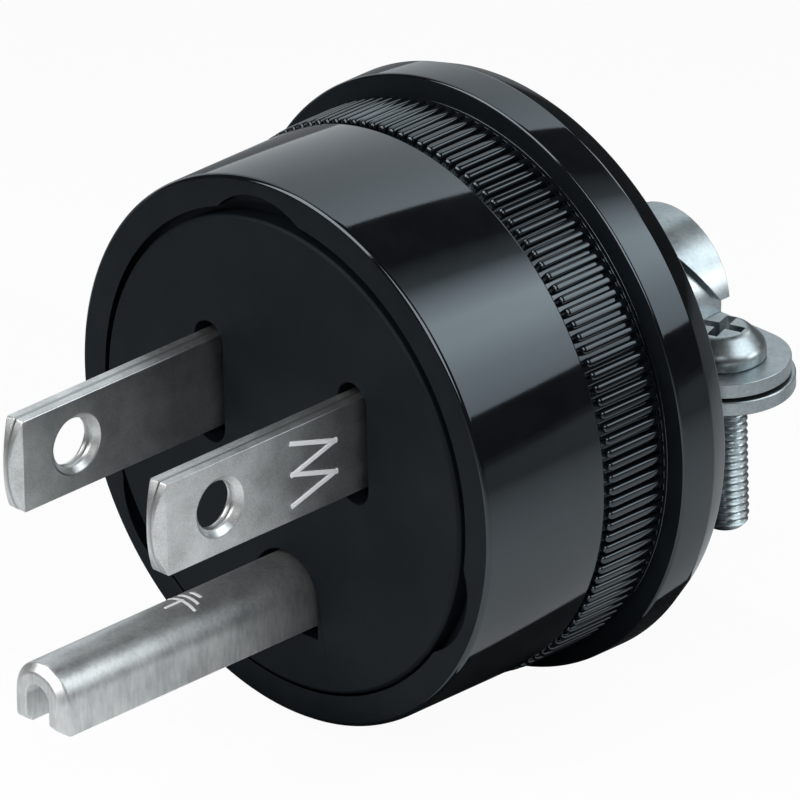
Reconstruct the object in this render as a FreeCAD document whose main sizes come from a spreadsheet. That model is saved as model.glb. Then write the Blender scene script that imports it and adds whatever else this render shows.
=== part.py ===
"""Rewirable type B plug: a knurled cup, two flat blades, a folded earth pin and an outside cord clamp.

Millimetres. The plug's axis is Y, with the prongs towards -Y and the cord towards +Y. Z is up, with the earth
pin below the blades. The origin is on the axis, in the mating face at the front of the disc.
"""
import FreeCAD, Part
import math
import os
import Sketcher

doc = FreeCAD.newDocument("type_b_plug")
sheet = doc.addObject("Spreadsheet::Sheet", "sizes")


class Size:
    """A dimension: its value now, and the sheet formula that keeps it right when a cell changes."""

    def __init__(self, value, text):
        self.value = value
        self.text = text

    def __add__(self, other):
        other = as_size(other)
        return Size(self.value + other.value, f"({self.text} + {other.text})")

    def __sub__(self, other):
        other = as_size(other)
        return Size(self.value - other.value, f"({self.text} - {other.text})")

    def __mul__(self, other):
        other = as_size(other)
        return Size(self.value * other.value, f"({self.text} * {other.text})")

    def __truediv__(self, other):
        other = as_size(other)
        return Size(self.value / other.value, f"({self.text} / {other.text})")

    def __neg__(self):
        return Size(-self.value, f"(0 - {self.text})")


def as_size(number):
    return number if isinstance(number, Size) else Size(float(number), repr(number))


def root(square):
    return Size(math.sqrt(square.value), f"sqrt({square.text})")


def tangent(degrees):
    return Size(math.tan(math.radians(degrees.value)), f"tan({degrees.text} * 1 deg)")


def half_chord(radius, height):
    """Half the width of a circle at a height above or below its centre."""
    return root(radius * radius - height * height)


def size(alias, value, note):
    """Writes one driving dimension into the sheet."""
    size.row += 1
    sheet.set(f"A{size.row}", note)
    sheet.set(f"B{size.row}", str(value))
    sheet.setAlias(f"B{size.row}", alias)
    return Size(value, f"sizes.{alias}")


size.row = 0

# Body
rim_wall = size("rim_wall", 2.05, "wall of the cup round the disc")
rim_edge = size("rim_edge", 0.3, "chamfer of the cup's front edge")
cup_length = size("cup_length", 10.0, "smooth length from the rim to the knurled band")
band_length = size("band_length", 5.45, "length of the knurled band")
ridge_sink = size("ridge_sink", 0.3, "how far the knurl's ground lies under the smooth cup")
ridge_height = size("ridge_height", 0.5, "height of a knurl ridge")
ridge_width = size("ridge_width", 0.52, "width of a knurl ridge")
ridge_margin = size("ridge_margin", 0.4, "gap at each end of a ridge")
ridge_count = size("ridge_count", 134, "number of knurl ridges")
flange_step = size("flange_step", 1.4, "how far the flange stands out of the cup")
flange_land = size("flange_land", 2.6, "length of the flange's straight side")
flange_draft = size("flange_draft", 0.7, "how much the flange narrows behind its straight side")
flange_thickness = size("flange_thickness", 4.3, "thickness of the flange")
floor_depth = size("floor_depth", 13.0, "depth of the wiring space from the rim")
hub_radius = size("hub_radius", 12.5, "radius of the rear hub")
hub_length = size("hub_length", 4.6, "length of the rear hub behind the flange")
cord_gap = size("cord_gap", 0.1, "how much wider the cord hole is than the clamp's throat")
cord_flare = size("cord_flare", 0.7, "chamfer at the cord hole's rear mouth")
notch_radius = size("notch_radius", 5.4, "radius of a pry notch in the rim")
notch_reach = size("notch_reach", 0.95, "how far a pry notch cuts into the rim")
notch_depth = size("notch_depth", 1.1, "depth of a pry notch")
notch_angle = size("notch_angle", 97, "direction of the first pry notch")
notch_count = size("notch_count", 3, "number of pry notches")

# Disc
seat_ledge = size("seat_ledge", 0.95, "width of the ledge that the disc lies on")
disc_gap = size("disc_gap", 0.35, "clearance round the disc")
disc_thickness = size("disc_thickness", 1.5, "thickness of the disc")
disc_proud = size("disc_proud", 0.2, "how far the disc stands out of the rim")
disc_edge = size("disc_edge", 0.2, "chamfer of the disc's front edge")
disc_sag = size("disc_sag", 0.2, "how far the loose disc hangs below the axis")
slot_side = size("slot_side", 0.55, "clearance of a blade's faces in its slot")
slot_end = size("slot_end", 1.0, "clearance of a blade's edges in its slot")
pin_gap = size("pin_gap", 0.45, "clearance of the earth pin in the disc")

# Prongs
blade_pitch = size("blade_pitch", 12.7, "distance between the blades' centres")
blade_line = size("blade_line", 2.95, "height of the blades' centre line above the axis")
blade_width = size("blade_width", 6.22, "width of a blade")
blade_sheet = size("blade_sheet", 1.4, "thickness of a blade and of the earth foot")
blade_length = size("blade_length", 17.3, "length of a blade from the mating face")
bevel_length = size("bevel_length", 0.75, "length of the coined bevel at a blade's tip")
bevel_depth = size("bevel_depth", 0.4, "depth of the coined bevel on each face")
nose_radius = size("nose_radius", 6.1, "radius of a blade's rounded tip")
hole_radius = size("hole_radius", 1.6, "radius of the hole in a blade")
hole_chamfer = size("hole_chamfer", 0.4, "chamfer of the hole in a blade")
hole_distance = size("hole_distance", 12.0, "distance of the hole from the mating face")
bend_radius = size("bend_radius", 0.8, "inside bend of a blade's foot")
foot_gap = size("foot_gap", 0.2, "clearance between a foot and the cup's wall")
pin_drop = size("pin_drop", 12.3, "centre of the earth pin's round top below the blade line")
pin_width = size("pin_width", 4.7, "width of the earth pin")
pin_side = size("pin_side", 1.95, "straight side of the earth pin under its round top")
pin_length = size("pin_length", 21.2, "length of the earth pin from the mating face")
pin_sheet = size("pin_sheet", 1.35, "wall of the folded earth pin")
pin_taper = size("pin_taper", 0.55, "chamfer at the earth pin's tip")

# Terminals inside the cup
terminal_thread = size("terminal_thread", 1.75, "thread radius of a terminal screw")
terminal_length = size("terminal_length", 6.0, "length of a terminal screw under its head")
terminal_head = size("terminal_head", 2.7, "head radius of a terminal screw")
washer_width = size("washer_width", 5.5, "width of a square wire washer")
washer_gap = size("washer_gap", 0.15, "gap between a wire washer and the bend of its foot")
washer_sheet = size("washer_sheet", 1.0, "thickness of a wire washer")
washer_corner = size("washer_corner", 0.6, "clipped corners of a wire washer")
lug_radius = size("lug_radius", 2.0, "end radius of a fixing lug")
lug_gap = size("lug_gap", 0.75, "gap between the earth pin and its fixing screw's head")
fixing_thread = size("fixing_thread", 1.1, "thread radius of a fixing screw")
fixing_length = size("fixing_length", 5.0, "length of a fixing screw under its head")
fixing_head = size("fixing_head", 1.9, "head radius of a fixing screw")

# Cord clamp
sheet_metal = size("sheet_metal", 0.95, "thickness of the clamp's sheet")
arch_radius = size("arch_radius", 4.6, "outer radius of the upper saddle")
cradle_radius = size("cradle_radius", 5.3, "outer radius of the lower saddle")
ear_drop = size("ear_drop", 0.67, "top of the upper ears below the axis")
ear_radius = size("ear_radius", 4.3, "end radius of an ear")
ear_tilt = size("ear_tilt", 1.5, "droop of the lower ears, degrees")
head_gap = size("head_gap", 1.2, "gap between the hood and a clamp screw's head")
clamp_gap = size("clamp_gap", 0.4, "gap between the hub and the upper saddle")
lower_extra = size("lower_extra", 0.25, "how much longer the lower ears are")
hood_radius = size("hood_radius", 5.05, "outer radius of the upper saddle's hood")
hood_inset = size("hood_inset", 0.25, "foot of the hood's slanted edge from the ears' rear")
hood_slope = size("hood_slope", 0.67, "forward lean of the hood's edge")
hood_lip = size("hood_lip", 0.3, "how far the hood reaches past the ears")
hood_rise = size("hood_rise", 0.4, "lowest point of the hood above the axis")
mouth_flare = size("mouth_flare", 0.6, "bell mouth at the saddle's rear edge")
clamp_thread = size("clamp_thread", 1.5, "thread radius of a clamp screw")
clamp_length = size("clamp_length", 11.6, "length of a clamp screw under its head")
clamp_head = size("clamp_head", 2.75, "head radius of a clamp screw")
plate_half = size("plate_half", 8.6, "half width of the clamp's foot plate")
plate_bottom = size("plate_bottom", 9.6, "bottom of the foot plate below the axis")
plate_corner = size("plate_corner", 3.0, "clipped corners of the foot plate")
plate_screw_offset = size("plate_screw_offset", 5.6, "foot screws from the axis plane")
plate_screw_drop = size("plate_screw_drop", 6.9, "foot screws below the axis")
plate_thread = size("plate_thread", 1.2, "thread radius of a foot screw")
plate_screw_length = size("plate_screw_length", 6.0, "length of a foot screw under its head")
plate_head = size("plate_head", 2.4, "head radius of a foot screw")

# Every screw, with its pan head in shares of the head's radius
clearance_hole = size("clearance_hole", 0.2, "clearance of a screw in a plain hole")
thread_gap = size("thread_gap", 0.02, "clearance of a screw in its own thread")
hole_spare = size("hole_spare", 1.0, "depth of a blind hole past a screw's tip")
head_height = size("head_height", 0.74, "height of a pan head over its radius")
head_side = size("head_side", 0.36, "straight side of a pan head over its radius")
head_crown = size("head_crown", 0.55, "flat of a pan head over its radius")
recess_span = size("recess_span", 0.5, "half length of a cross recess over the head's radius")
recess_width = size("recess_width", 0.13, "half width of a cross recess over the head's radius")
recess_depth = size("recess_depth", 0.42, "depth of a cross recess over the head's radius")
doc.recompute()

# Places that several pieces share
rim_front = disc_proud
cup_rear = rim_front + cup_length
flange_front = cup_rear + band_length
flange_rear = flange_front + flange_thickness
hub_rear = flange_rear + hub_length
floor_front = rim_front + floor_depth
foot_front = floor_front - blade_sheet
washer_front = foot_front - washer_sheet
blade_outer = (blade_pitch + blade_sheet) / 2
blade_top = blade_line + blade_width / 2
foot_bend = blade_outer + bend_radius
terminal_offset = foot_bend + washer_gap + washer_width / 2
foot_end = terminal_offset + washer_width / 2
foot_limit = root(foot_end * foot_end + blade_top * blade_top)
cavity_radius = foot_limit + foot_gap
seat_radius = cavity_radius + seat_ledge
rim_radius = seat_radius + rim_wall
ridge_root = rim_radius - ridge_sink
flange_radius = rim_radius + flange_step
flange_back = flange_radius - flange_draft
lug_offset = foot_bend + lug_radius
lug_line = half_chord(foot_limit - lug_radius, lug_offset)
pin_line = blade_line - pin_drop
earth_reach = half_chord(foot_limit, pin_line - washer_width / 2)
earth_offset = earth_reach - washer_width / 2
earth_lug = pin_width / 2 + lug_gap + fixing_head
arch_inside = arch_radius - sheet_metal
cord_radius = arch_inside + cord_gap
ear_top = -ear_drop
ear_seat = ear_top - sheet_metal
clamp_offset = hood_radius + head_gap + clamp_head
clamp_line = hub_rear + clamp_gap + ear_radius
clamp_rear = clamp_line + ear_radius
ear_end = clamp_offset + ear_radius * 2
tilt_start = clamp_offset - clamp_head
# How far a cut runs past a face, and how close two places count as one
spare = as_size(2)
near = 1e-3


def line(u, v):
    """A straight stretch of an outline."""
    return ("line", as_size(u), as_size(v))


def arc(u, v, centre_u, centre_v, turn):
    """A round stretch of an outline, turning left (1) or right (-1) about a centre."""
    return ("arc", as_size(u), as_size(v), as_size(centre_u), as_size(centre_v), turn)


def pin_point(sketch, geometry, position, u, v):
    """Ties a point of a sketch to two formulas."""
    for kind, axis, value in (("DistanceX", -2, u), ("DistanceY", -1, v)):
        if value.text in ("0", "0.0"):
            sketch.addConstraint(Sketcher.Constraint("PointOnObject", geometry, position, axis))
        else:
            index = sketch.addConstraint(Sketcher.Constraint(kind, -1, 1, geometry, position, value.value))
            sketch.setExpression(f"Constraints[{index}]", value.text)


def outline(sketch, *steps):
    """Draws a closed outline through the ends of its steps, every one tied to its formulas."""
    pieces = []
    previous = steps[-1]
    for step in steps:
        start = FreeCAD.Vector(previous[1].value, previous[2].value, 0)
        end = FreeCAD.Vector(step[1].value, step[2].value, 0)
        if step[0] == "line":
            pieces.append((sketch.addGeometry(Part.LineSegment(start, end), False), 1, 2))
        else:
            centre = FreeCAD.Vector(step[3].value, step[4].value, 0)
            circle = Part.Circle(centre, FreeCAD.Vector(0, 0, 1), (end - centre).Length)
            first, last = (start, end) if step[5] > 0 else (end, start)
            bow = Part.ArcOfCircle(circle, circle.parameter(first), circle.parameter(last))
            ends = (1, 2) if step[5] > 0 else (2, 1)
            pieces.append((sketch.addGeometry(bow, False), *ends))
        previous = step
    following = pieces[1:] + pieces[:1]
    for (geometry, _, finish), (after, begin, _) in zip(pieces, following):
        sketch.addConstraint(Sketcher.Constraint("Coincident", geometry, finish, after, begin))
    previous = steps[-1]
    for (geometry, begin, finish), step in zip(pieces, steps):
        pin_point(sketch, geometry, finish, step[1], step[2])
        if step[0] == "arc":
            wide = abs(step[1].value - previous[1].value) > abs(step[2].value - previous[2].value)
            kind, centre = ("DistanceY", step[4]) if wide else ("DistanceX", step[3])
            index = sketch.addConstraint(Sketcher.Constraint(kind, -1, 1, geometry, 3, centre.value))
            sketch.setExpression(f"Constraints[{index}]", centre.text)
        previous = step


def round_hole(sketch, u, v, radius):
    """Draws a circle tied to its formulas."""
    centre = FreeCAD.Vector(as_size(u).value, as_size(v).value, 0)
    circle = sketch.addGeometry(Part.Circle(centre, FreeCAD.Vector(0, 0, 1), radius.value), False)
    pin_point(sketch, circle, 3, as_size(u), as_size(v))
    index = sketch.addConstraint(Sketcher.Constraint("Radius", circle, radius.value))
    sketch.setExpression(f"Constraints[{index}]", radius.text)


def new_body(label):
    body = doc.addObject("PartDesign::Body", label)
    body.Label = label
    return body


def origin_feature(body, role):
    return next(item for item in body.Origin.OriginFeatures if item.Role == role)


def new_sketch(body, name, plane, offset=0):
    """Starts a sketch on one of the body's planes, moved along that plane's own axis of the model."""
    sketch = body.newObject("Sketcher::SketchObject", f"{body.Name}_{name}")
    sketch.AttachmentSupport = [(origin_feature(body, plane), "")]
    sketch.MapMode = "FlatFace"
    offset = as_size(offset)
    offset = -offset if plane == "XZ_Plane" else offset
    sketch.AttachmentOffset = FreeCAD.Placement(FreeCAD.Vector(0, 0, offset.value), FreeCAD.Rotation())
    sketch.setExpression("AttachmentOffset.Base.z", offset.text)
    return sketch


def add_pad(body, sketch, length, backwards=False):
    """Adds material from a sketch; backwards is against the sketch's own direction."""
    pad = body.newObject("PartDesign::Pad", f"{sketch.Name}_pad")
    pad.Profile = sketch
    pad.Length = as_size(length).value
    pad.setExpression("Length", as_size(length).text)
    pad.Reversed = backwards
    return pad


def add_pocket(body, sketch, length):
    """Cuts material away, against the sketch's own direction."""
    pocket = body.newObject("PartDesign::Pocket", f"{sketch.Name}_pocket")
    pocket.Profile = sketch
    pocket.Length = as_size(length).value
    pocket.setExpression("Length", as_size(length).text)
    return pocket


def add_turning(body, sketch, kind="PartDesign::Revolution"):
    """Turns a sketch about its own upright axis, as material or as a groove."""
    turning = body.newObject(kind, f"{sketch.Name}_turning")
    turning.Profile = sketch
    turning.ReferenceAxis = (sketch, ["V_Axis"])
    turning.Angle = 360
    return turning


def add_pattern(body, feature, role, count):
    """Repeats a feature evenly about one of the body's axes."""
    pattern = body.newObject("PartDesign::PolarPattern", f"{feature.Name}_pattern")
    pattern.Originals = [feature]
    pattern.Axis = (origin_feature(body, role), [""])
    pattern.Angle = 360
    pattern.Occurrences = int(as_size(count).value)
    pattern.setExpression("Occurrences", as_size(count).text)
    pattern.Refine = False
    body.Tip = pattern
    return pattern


def edges_where(feature, test):
    """Names of a feature's edges that pass a test."""
    return [f"Edge{index}" for index, edge in enumerate(feature.Shape.Edges, 1) if test(edge)]


def add_chamfer(body, feature, test, amount):
    """Chamfers the edges of the last feature that pass a test."""
    doc.recompute()
    chamfer = body.newObject("PartDesign::Chamfer", f"{feature.Name}_chamfer")
    chamfer.Base = (feature, edges_where(feature, test))
    chamfer.Size = amount.value
    chamfer.setExpression("Size", amount.text)
    return chamfer


def place(body, x, y, z, axis=FreeCAD.Vector(1, 0, 0), angle=0):
    """Stands a finished piece where it belongs in the plug."""
    x, y, z = as_size(x), as_size(y), as_size(z)
    rotation = FreeCAD.Rotation(axis, angle)
    body.Placement = FreeCAD.Placement(FreeCAD.Vector(x.value, y.value, z.value), rotation)
    for name, value in (("x", x), ("y", y), ("z", z)):
        body.setExpression(f"Placement.Base.{name}", value.text)


def make_body():
    """The one-piece moulding: cup, knurled band, flange and rear hub."""
    body = new_body("body")
    section = new_sketch(body, "section", "XY_Plane")
    outline(
        section,
        line(seat_radius, rim_front),
        line(rim_radius - rim_edge, rim_front),
        line(rim_radius, rim_front + rim_edge),
        line(rim_radius, cup_rear),
        line(ridge_root, cup_rear),
        line(ridge_root, flange_front),
        line(flange_radius, flange_front),
        line(flange_radius, flange_front + flange_land),
        line(flange_back, flange_rear),
        line(hub_radius, flange_rear),
        line(hub_radius, hub_rear),
        line(cord_radius + cord_flare, hub_rear),
        line(cord_radius, hub_rear - cord_flare),
        line(cord_radius, floor_front),
        line(cavity_radius, floor_front),
        line(cavity_radius, disc_thickness),
        line(seat_radius, disc_thickness),
    )
    add_turning(body, section)

    notch_centre = seat_radius + notch_reach - notch_radius
    notch = new_sketch(body, "notch", "XZ_Plane", rim_front - spare)
    direction = math.radians(notch_angle.value)
    across = Size(math.cos(direction), f"cos({notch_angle.text} * 1 deg)")
    upwards = Size(math.sin(direction), f"sin({notch_angle.text} * 1 deg)")
    round_hole(notch, notch_centre * across, notch_centre * upwards, notch_radius)
    notches = add_pocket(body, notch, notch_depth + spare)
    add_pattern(body, notches, "Y_Axis", notch_count)

    fixings = new_sketch(body, "fixings", "XZ_Plane", floor_front)
    terminals = new_sketch(body, "terminals", "XZ_Plane", floor_front)
    for side in (1, -1):
        round_hole(fixings, lug_offset * side, lug_line, fixing_thread + thread_gap)
        round_hole(terminals, terminal_offset * side, blade_line, terminal_thread + clearance_hole)
    round_hole(fixings, -earth_lug, pin_line, fixing_thread + thread_gap)
    round_hole(terminals, earth_offset, pin_line, terminal_thread + clearance_hole)
    add_pocket(body, fixings, foot_front + fixing_length + hole_spare - floor_front)
    add_pocket(body, terminals, washer_front + terminal_length + hole_spare - floor_front)

    clamp_depth = plate_screw_length + hole_spare - sheet_metal
    clamp_holes = new_sketch(body, "clamp_holes", "XZ_Plane", hub_rear - clamp_depth)
    for side in (1, -1):
        round_hole(clamp_holes, plate_screw_offset * side, -plate_screw_drop, plate_thread + thread_gap)
    add_pocket(body, clamp_holes, clamp_depth + spare)

    ridge = new_sketch(body, "ridge", "XY_Plane", ridge_root - ridge_height)
    half = ridge_width / 2
    front = cup_rear + ridge_margin
    back = flange_front - ridge_margin
    outline(
        ridge,
        line(-half, front),
        line(half, front),
        line(half, back),
        line(-half, back),
    )
    ridges = add_pad(body, ridge, ridge_height * 2)
    add_pattern(body, ridges, "Y_Axis", ridge_count)


def make_disc():
    """The flat disc that closes the cup and lets the prongs through."""
    body = new_body("insulating_disc")
    face = new_sketch(body, "face", "XZ_Plane")
    round_hole(face, 0, -disc_sag, seat_radius - disc_gap)
    blank = add_pad(body, face, disc_thickness, backwards=True)
    add_chamfer(body, blank, lambda edge: edge.BoundBox.YMax < near, disc_edge)
    holes = new_sketch(body, "holes", "XZ_Plane", -spare)
    half = blade_sheet / 2 + slot_side
    reach = blade_width / 2 + slot_end - half
    slot_line = blade_line - disc_sag
    for side in (1, -1):
        middle = blade_pitch / 2 * side
        outline(
            holes,
            line(middle + half, slot_line + reach),
            arc(middle - half, slot_line + reach, middle, slot_line + reach, 1),
            line(middle - half, slot_line - reach),
            arc(middle + half, slot_line - reach, middle, slot_line - reach, 1),
        )
    wide = pin_width / 2 + pin_gap
    pin_hole = pin_line - disc_sag
    outline(
        holes,
        line(wide, pin_hole),
        arc(-wide, pin_hole, 0, pin_hole, 1),
        line(-wide, pin_hole - pin_side - pin_gap),
        line(wide, pin_hole - pin_side - pin_gap),
    )
    add_pocket(body, holes, disc_thickness + spare * 2)


def make_blade(label, side):
    """A flat blade with coined tip, round hole and a foot bent outwards under its terminal."""
    body = new_body(label)
    inner = (blade_pitch - blade_sheet) / 2
    tip = -blade_length
    plan = new_sketch(body, "plan", "XY_Plane", blade_line - blade_width / 2)
    outline(
        plan,
        line(inner * side, tip + bevel_length),
        line((inner + bevel_depth) * side, tip),
        line((blade_outer - bevel_depth) * side, tip),
        line(blade_outer * side, tip + bevel_length),
        line(blade_outer * side, foot_front - bend_radius),
        arc(foot_bend * side, foot_front, foot_bend * side, foot_front - bend_radius, -side),
        line(foot_end * side, foot_front),
        line(foot_end * side, floor_front),
        line(foot_bend * side, floor_front),
        arc(inner * side, foot_front - bend_radius, foot_bend * side, foot_front - bend_radius, side),
    )
    add_pad(body, plan, blade_width)

    nose = new_sketch(body, "nose", "YZ_Plane", blade_pitch / 2 * side + spare)
    high = blade_line + blade_width / 2
    low = blade_line - blade_width / 2
    nose_start = tip + nose_radius - half_chord(nose_radius, blade_width / 2)
    outline(
        nose,
        line(nose_start, low - spare),
        line(tip - spare, low - spare),
        line(tip - spare, high + spare),
        line(nose_start, high + spare),
        line(nose_start, high),
        arc(nose_start, low, tip + nose_radius, blade_line, 1),
    )
    add_pocket(body, nose, spare * 2)

    eye = new_sketch(body, "eye", "YZ_Plane", blade_pitch / 2 * side + spare)
    round_hole(eye, -hole_distance, blade_line, hole_radius)
    eye_cut = add_pocket(body, eye, spare * 2)
    add_chamfer(body, eye_cut, lambda edge: edge.Closed, hole_chamfer)

    lug = new_sketch(body, "lug", "XZ_Plane", foot_front)
    outline(
        lug,
        line((lug_offset - lug_radius) * side, blade_line),
        line((lug_offset + lug_radius) * side, blade_line),
        line((lug_offset + lug_radius) * side, lug_line),
        arc((lug_offset - lug_radius) * side, lug_line, lug_offset * side, lug_line, side),
    )
    add_pad(body, lug, blade_sheet, backwards=True)
    holes = new_sketch(body, "holes", "XZ_Plane", foot_front - spare)
    round_hole(holes, terminal_offset * side, blade_line, terminal_thread + thread_gap)
    round_hole(holes, lug_offset * side, lug_line, fixing_thread + clearance_hole)
    add_pocket(body, holes, blade_sheet + spare * 2)
    return body


def make_earth_pin():
    """The earth prong: sheet folded to an inverted U, standing on its own foot."""
    body = new_body("earth_pin")
    half = pin_width / 2
    gap = half - pin_sheet
    bottom = pin_line - pin_side
    tip = -pin_length
    fold = new_sketch(body, "fold", "XZ_Plane", tip)
    outline(
        fold,
        line(half, bottom),
        line(half, pin_line),
        arc(-half, pin_line, 0, pin_line, 1),
        line(-half, bottom),
        line(-gap, bottom),
        line(-gap, pin_line),
        arc(gap, pin_line, 0, pin_line, -1),
        line(gap, bottom),
    )
    prong = add_pad(body, fold, floor_front - tip, backwards=True)
    limit = half.value - near
    front = tip.value + near

    def on_tip(edge):
        box = edge.BoundBox
        return box.YMax < front and max(abs(box.XMin), abs(box.XMax)) > limit

    add_chamfer(body, prong, on_tip, pin_taper)

    foot = new_sketch(body, "foot", "XZ_Plane", foot_front)
    rise = washer_width / 2
    outline(
        foot,
        line(earth_reach, pin_line - rise),
        line(earth_reach, pin_line + rise),
        line(-half, pin_line + rise),
        line(-half, pin_line + lug_radius),
        line(-earth_lug, pin_line + lug_radius),
        arc(-earth_lug, pin_line - lug_radius, -earth_lug, pin_line, 1),
        line(-half, pin_line - lug_radius),
        line(-half, pin_line - rise),
    )
    add_pad(body, foot, blade_sheet, backwards=True)
    holes = new_sketch(body, "holes", "XZ_Plane", foot_front - spare)
    round_hole(holes, earth_offset, pin_line, terminal_thread + thread_gap)
    round_hole(holes, -earth_lug, pin_line, fixing_thread + clearance_hole)
    add_pocket(body, holes, blade_sheet + spare * 2)
    return body


def make_slotted_screw(label, thread, length, head):
    """A cheese-head screw standing on its own origin, with a slot in its head."""
    body = new_body(label)
    profile = new_sketch(body, "profile", "XZ_Plane")
    top = head * head_height
    outline(
        profile,
        line(0, -length),
        line(thread, -length),
        line(thread, 0),
        line(head, 0),
        line(head, top),
        line(0, top),
    )
    add_turning(body, profile)
    slot = new_sketch(body, "slot", "XY_Plane", top)
    near = head * recess_width
    outline(
        slot,
        line(head, -near),
        line(head, near),
        line(-head, near),
        line(-head, -near),
    )
    add_pocket(body, slot, head * recess_depth)
    return body


def make_pan_screw(label, thread, length, head):
    """A pan-head screw standing on its own origin, with a cross recess in its head."""
    body = new_body(label)
    profile = new_sketch(body, "profile", "XZ_Plane")
    top = head * head_height
    outline(
        profile,
        line(0, -length),
        line(thread, -length),
        line(thread, 0),
        line(head, 0),
        line(head, head * head_side),
        line(head * head_crown, top),
        line(0, top),
    )
    add_turning(body, profile)
    recess = new_sketch(body, "recess", "XY_Plane", top)
    far = head * recess_span
    near = head * recess_width
    outline(
        recess,
        line(far, -near),
        line(far, near),
        line(near, near),
        line(near, far),
        line(-near, far),
        line(-near, near),
        line(-far, near),
        line(-far, -near),
        line(-near, -near),
        line(-near, -far),
        line(near, -far),
        line(near, -near),
    )
    add_pocket(body, recess, head * recess_depth)
    return body


def make_washer(label):
    """A square wire washer with clipped corners, standing on its own origin."""
    body = new_body(label)
    face = new_sketch(body, "face", "XY_Plane")
    half = washer_width / 2
    short = half - washer_corner
    outline(
        face,
        line(half, short),
        line(short, half),
        line(-short, half),
        line(-half, short),
        line(-half, -short),
        line(-short, -half),
        line(short, -half),
        line(half, -short),
    )
    round_hole(face, 0, 0, terminal_thread + clearance_hole)
    add_pad(body, face, washer_sheet)
    return body


def trim_ears(body, name, radius, front):
    """Cuts a clamp strip to its plan: straight edges and round ears about the clamp screws."""
    trim = new_sketch(body, name, "XY_Plane", hood_radius + spare)
    far = ear_end + spare
    outline(
        trim,
        line(far, front - spare),
        line(far, clamp_rear + spare),
        line(clamp_offset, clamp_rear + spare),
        line(clamp_offset, clamp_line + radius),
        arc(clamp_offset, clamp_line - radius, clamp_offset, clamp_line, -1),
        line(clamp_offset, front - spare),
    )
    outline(
        trim,
        line(-far, front - spare),
        line(-far, clamp_rear + spare),
        line(-clamp_offset, clamp_rear + spare),
        line(-clamp_offset, clamp_line + radius),
        arc(-clamp_offset, clamp_line - radius, -clamp_offset, clamp_line, 1),
        line(-clamp_offset, front - spare),
    )
    add_pocket(body, trim, hood_radius + cradle_radius + spare * 2)


def ear_holes(body, name, radius):
    """Drills both ears for the clamp screws."""
    holes = new_sketch(body, name, "XY_Plane", spare)
    for side in (1, -1):
        round_hole(holes, clamp_offset * side, clamp_line, radius)
    add_pocket(body, holes, cradle_radius + spare)


def make_upper_saddle():
    """The upper half of the cord clamp: an arch with ears and a hood pressed over its rear edge."""
    body = new_body("clamp_upper_saddle")
    rear = clamp_rear + hood_lip
    hood = new_sketch(body, "hood", "XZ_Plane", rear)
    hood_half = half_chord(hood_radius, hood_rise)
    seat_half = half_chord(arch_inside + sheet_metal / 2, hood_rise)
    outline(
        hood,
        line(hood_half, hood_rise),
        arc(-hood_half, hood_rise, 0, 0, 1),
        line(-seat_half, hood_rise),
        arc(seat_half, hood_rise, 0, 0, -1),
    )
    add_pad(body, hood, clamp_rear - (hub_rear + clamp_gap))
    slant = new_sketch(body, "slant", "YZ_Plane", hood_radius + spare)
    top = hood_radius + spare
    outline(
        slant,
        line(clamp_rear - hood_inset, 0),
        line(clamp_rear - hood_inset - hood_slope * top, top),
        line(hub_rear - spare, top),
        line(hub_rear - spare, 0),
    )
    add_pocket(body, slant, (hood_radius + spare) * 2)

    strip = new_sketch(body, "strip", "XZ_Plane", clamp_rear)
    foot_half = half_chord(arch_radius, ear_drop)
    inner_half = half_chord(arch_inside, ear_drop + sheet_metal)
    outline(
        strip,
        line(ear_end, ear_seat),
        line(ear_end, ear_top),
        line(foot_half, ear_top),
        arc(-foot_half, ear_top, 0, 0, 1),
        line(-ear_end, ear_top),
        line(-ear_end, ear_seat),
        line(-inner_half, ear_seat),
        arc(inner_half, ear_seat, 0, 0, -1),
    )
    add_pad(body, strip, ear_radius * 2)
    trim_ears(body, "trim", ear_radius, hub_rear)
    ear_holes(body, "holes", clamp_thread + clearance_hole)

    mouth = new_sketch(body, "mouth", "XY_Plane")
    outline(
        mouth,
        line(arch_inside - mouth_flare, rear - mouth_flare * 2),
        line(arch_inside, rear - mouth_flare * 2),
        line(arch_inside + mouth_flare, rear),
        line(arch_inside - mouth_flare, rear),
    )
    add_turning(body, mouth, "PartDesign::Groove")
    return body


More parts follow.
